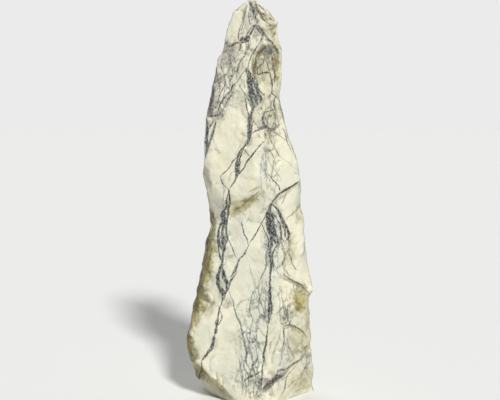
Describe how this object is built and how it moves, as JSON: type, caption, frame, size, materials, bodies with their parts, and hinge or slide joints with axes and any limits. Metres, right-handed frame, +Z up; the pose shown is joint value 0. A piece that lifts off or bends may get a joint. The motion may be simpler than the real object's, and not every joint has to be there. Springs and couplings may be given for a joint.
{
  "type": "rough marble monolith",
  "caption": "Tall tapering block of roughly split, dark-veined cream marble that stands upright on a sawn foot.",
  "frame": {"origin": "centre of the block's bounding box, on the plane of the sawn foot", "axes": "+Z up along the block's length, the veined front faces -Y, +X to the right of the front"},
  "size_m": [0.5206, 0.357, 1.5998],
  "materials": {
    "veined_marble": "rough split marble, cream with dark grey and purple veins"
  },
  "bodies": {
    "root": {"marble_block": "veined_marble"}
  },
  "joints": []
}
